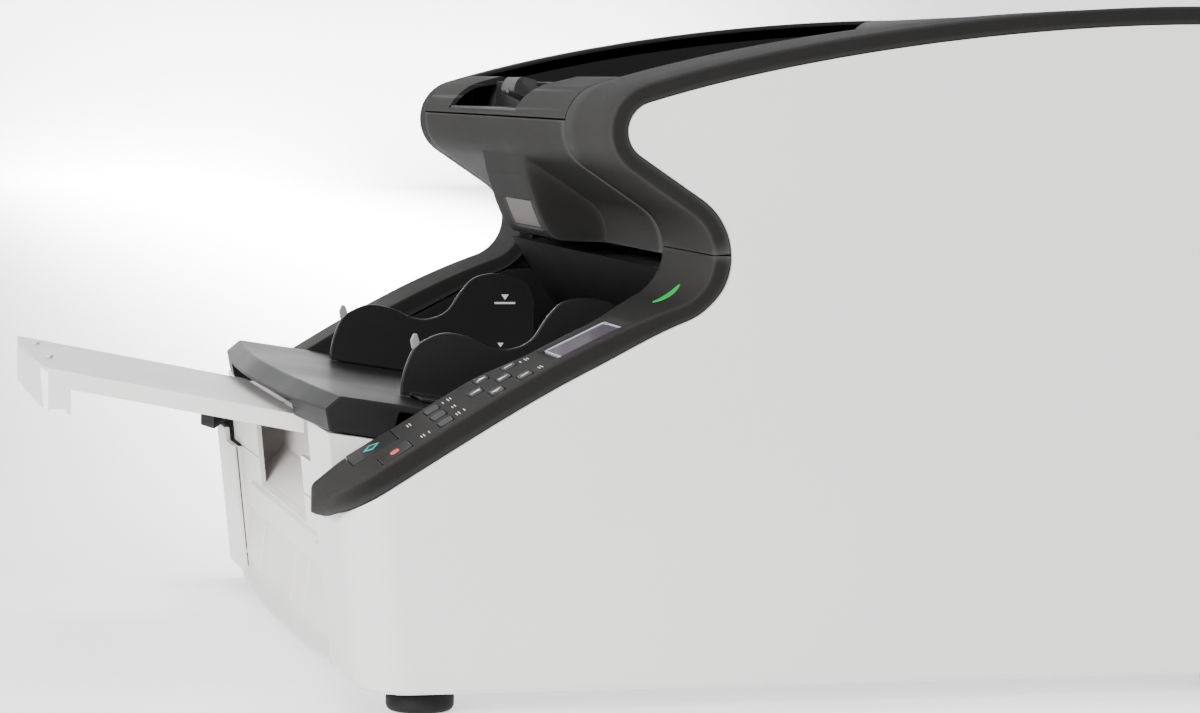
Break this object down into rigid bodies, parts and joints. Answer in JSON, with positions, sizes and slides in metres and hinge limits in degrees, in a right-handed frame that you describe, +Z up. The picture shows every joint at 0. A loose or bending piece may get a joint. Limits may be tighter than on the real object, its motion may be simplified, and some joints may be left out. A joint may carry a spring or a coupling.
{
  "type": "sheet fed document scanner",
  "caption": "Desktop sheet-fed document scanner with front feed tray, control panel arm, hinged scanning head and top eject basin.",
  "frame": {"origin": "centre of the bounding box's base, on the floor under the machine, with the feed tray open", "axes": "+X to the operator's right (control panel side), +Y from the feed tray at the front to the rear, +Z up"},
  "size_m": [0.528, 0.6934, 0.375],
  "materials": {
    "white_shell": "fine matt texture, warm white",
    "tray_white": "matt light grey moulding",
    "dark_shell": "fine matt texture, brownish charcoal",
    "dark_gloss": "semi-gloss black",
    "inner_black": "matt black mouldings inside",
    "button_grey": "satin keys with light symbols",
    "lcd_glass": "tinted clear pane over a dark display",
    "lamp_green": "translucent green lens",
    "window_taupe": "smoky translucent window",
    "sheet_steel": "zinc-plated sheet",
    "shaft_steel": "ground steel",
    "motor_metal": "drawn steel can",
    "circuit_board": "green solder mask",
    "rubber_black": "matt black rubber"
  },
  "bodies": {
    "base": {"side_cover_right": "white_shell", "side_cover_left": "white_shell", "front_cover": "white_shell", "front_lower_panel": "white_shell", "rear_cover": "white_shell", "rear_top_cover": "dark_shell", "power_inlet": "inner_black", "base_pan": "sheet_steel", "foot_front_right": "rubber_black", "foot_front_left": "rubber_black", "foot_rear_right": "rubber_black", "foot_rear_left": "rubber_black", "control_panel_arm": "dark_shell", "side_arm_left": "dark_shell", "head_frame_right": "dark_shell", "head_frame_left": "dark_shell", "lcd_window": "lcd_glass", "status_lamp": "lamp_green", "feeder_bed": "inner_black", "lift_motor": "motor_metal", "lower_paper_guide": "inner_black", "main_frame_right": "sheet_steel", "main_frame_left": "sheet_steel", "scan_unit_lower": "inner_black", "power_supply": "sheet_steel", "main_board": "circuit_board", "main_motor": "motor_metal", "unit_hinge_shaft": "shaft_steel"},
    "lift": {"feed_platform": "dark_gloss"},
    "lift_shaft": {"lift_shaft": "shaft_steel"},
    "guide_right": {"paper_guide_right": "dark_shell"},
    "guide_left": {"paper_guide_left": "dark_shell"},
    "tray": {"feed_tray": "tray_white"},
    "upper_unit": {"upper_front_cover": "dark_shell", "head_window": "window_taupe", "upper_top_cover": "dark_shell", "eject_tray": "inner_black", "unit_side_plate_right": "sheet_steel", "unit_side_plate_left": "sheet_steel", "turn_core": "inner_black", "scan_unit_upper": "inner_black"},
    "open_lever": {"open_lever": "dark_shell"},
    "rear_door": {"rear_door": "white_shell"},
    "power_switch": {"power_switch": "dark_shell"},
    "pickup_roller": {"pickup_roller": "rubber_black"},
    "feed_roller": {"feed_roller": "rubber_black"},
    "separation_roller": {"separation_roller": "rubber_black"},
    "transport_roller": {"transport_roller": "rubber_black"},
    "exit_roller": {"exit_roller": "rubber_black"},
    "start_button": {"start_button": "button_grey"},
    "stop_button": {"stop_button": "button_grey"},
    "function_button_1": {"function_button_1": "button_grey"},
    "function_button_2": {"function_button_2": "button_grey"},
    "function_button_3": {"function_button_3": "button_grey"},
    "menu_button": {"menu_button": "button_grey"},
    "up_button": {"up_button": "button_grey"},
    "down_button": {"down_button": "button_grey"},
    "back_button": {"back_button": "button_grey"},
    "left_button": {"left_button": "button_grey"},
    "enter_button": {"enter_button": "button_grey"}
  },
  "joints": [
    {"name": "lift_slide", "type": "slide", "parent": "base", "child": "lift", "axis": [0, 0, 1], "range_m": [0, 0.05]},
    {"name": "lift_shaft_turn", "type": "hinge", "parent": "base", "child": "lift_shaft", "pos_m": [0, -0.0088, 0.096], "axis": [1, 0, 0], "range_deg": [0, 275]},
    {"name": "guide_right_slide", "type": "slide", "parent": "lift", "child": "guide_right", "axis": [1, 0, 0], "range_m": [-0.08, 0.032]},
    {"name": "guide_left_slide", "type": "slide", "parent": "lift", "child": "guide_left", "axis": [-1, 0, 0], "range_m": [-0.08, 0.032]},
    {"name": "tray_fold", "type": "hinge", "parent": "lift", "child": "tray", "pos_m": [0, -0.2208, 0.15], "axis": [-1, 0, 0], "range_deg": [0, 90]},
    {"name": "unit_open", "type": "hinge", "parent": "base", "child": "upper_unit", "pos_m": [0, 0.2387, 0.35], "axis": [-1, 0, 0], "range_deg": [0, 30]},
    {"name": "lever_pull", "type": "hinge", "parent": "upper_unit", "child": "open_lever", "pos_m": [-0.04, -0.0427, 0.317], "axis": [1, 0, 0], "range_deg": [0, 22], "stiffness_Nm_per_rad": 0.05, "springref_deg": -5.73},
    {"name": "rear_door_turn", "type": "hinge", "parent": "base", "child": "rear_door", "pos_m": [-0.0427, 0.3452, 0.2384], "axis": [-1, 0, 0], "range_deg": [0, 88]},
    {"name": "power_switch_tilt", "type": "hinge", "parent": "base", "child": "power_switch", "pos_m": [0.228, 0.3377, 0.052], "axis": [1, 0, 0], "range_deg": [0, 10]},
    {"name": "feed_roller_spin", "type": "hinge", "parent": "upper_unit", "child": "feed_roller", "pos_m": [-0.028, 0.0137, 0.2416], "axis": [1, 0, 0], "continuous": true},
    {"name": "pickup_roller_spin", "type": "hinge", "parent": "upper_unit", "child": "pickup_roller", "pos_m": [-0.028, -0.0243, 0.2495], "axis": [1, 0, 0], "continuous": true},
    {"name": "separation_roller_spin", "type": "hinge", "parent": "base", "child": "separation_roller", "pos_m": [-0.028, 0.0137, 0.2144], "axis": [1, 0, 0], "continuous": true},
    {"name": "transport_roller_spin", "type": "hinge", "parent": "base", "child": "transport_roller", "pos_m": [-0.028, 0.0397, 0.2144], "axis": [1, 0, 0], "continuous": true},
    {"name": "exit_roller_spin", "type": "hinge", "parent": "base", "child": "exit_roller", "pos_m": [-0.028, 0.1817, 0.2144], "axis": [1, 0, 0], "continuous": true},
    {"name": "start_button_press", "type": "slide", "parent": "base", "child": "start_button", "axis": [-0.0537, 0.5198, -0.8526], "range_m": [0, 0.001], "stiffness_N_per_m": 600, "springref_m": -0.0006},
    {"name": "stop_button_press", "type": "slide", "parent": "base", "child": "stop_button", "axis": [-0.0537, 0.5198, -0.8526], "range_m": [0, 0.001], "stiffness_N_per_m": 600, "springref_m": -0.0006},
    {"name": "function_button_1_press", "type": "slide", "parent": "base", "child": "function_button_1", "axis": [-0.0537, 0.5198, -0.8526], "range_m": [0, 0.001], "stiffness_N_per_m": 600, "springref_m": -0.0006},
    {"name": "function_button_2_press", "type": "slide", "parent": "base", "child": "function_button_2", "axis": [-0.0537, 0.5198, -0.8526], "range_m": [0, 0.001], "stiffness_N_per_m": 600, "springref_m": -0.0006},
    {"name": "function_button_3_press", "type": "slide", "parent": "base", "child": "function_button_3", "axis": [-0.0537, 0.5198, -0.8526], "range_m": [0, 0.001], "stiffness_N_per_m": 600, "springref_m": -0.0006},
    {"name": "menu_button_press", "type": "slide", "parent": "base", "child": "menu_button", "axis": [-0.0478, 0.5065, -0.8609], "range_m": [0, 0.001], "stiffness_N_per_m": 600, "springref_m": -0.0006},
    {"name": "up_button_press", "type": "slide", "parent": "base", "child": "up_button", "axis": [-0.0539, 0.5065, -0.8606], "range_m": [0, 0.001], "stiffness_N_per_m": 600, "springref_m": -0.0006},
    {"name": "down_button_press", "type": "slide", "parent": "base", "child": "down_button", "axis": [-0.0348, 0.5065, -0.8615], "range_m": [0, 0.001], "stiffness_N_per_m": 600, "springref_m": -0.0006},
    {"name": "back_button_press", "type": "slide", "parent": "base", "child": "back_button", "axis": [-0.0478, 0.5065, -0.8609], "range_m": [0, 0.001], "stiffness_N_per_m": 600, "springref_m": -0.0006},
    {"name": "left_button_press", "type": "slide", "parent": "base", "child": "left_button", "axis": [-0.0206, 0.4842, -0.8747], "range_m": [0, 0.001], "stiffness_N_per_m": 600, "springref_m": -0.0006},
    {"name": "enter_button_press", "type": "slide", "parent": "base", "child": "enter_button", "axis": [-0.0206, 0.4842, -0.8747], "range_m": [0, 0.001], "stiffness_N_per_m": 600, "springref_m": -0.0006}
  ],
  "couplings": [
    {"joint": "lift_shaft_turn", "follows": "lift_slide", "rad_per_m": 95.238},
    {"joint": "guide_left_slide", "follows": "guide_right_slide", "ratio": 1},
    {"joint": "pickup_roller_spin", "follows": "feed_roller_spin", "ratio": 0.92857},
    {"joint": "separation_roller_spin", "follows": "feed_roller_spin", "ratio": -1},
    {"joint": "transport_roller_spin", "follows": "feed_roller_spin", "ratio": -1.1818},
    {"joint": "exit_roller_spin", "follows": "feed_roller_spin", "ratio": -1.1818}
  ]
}
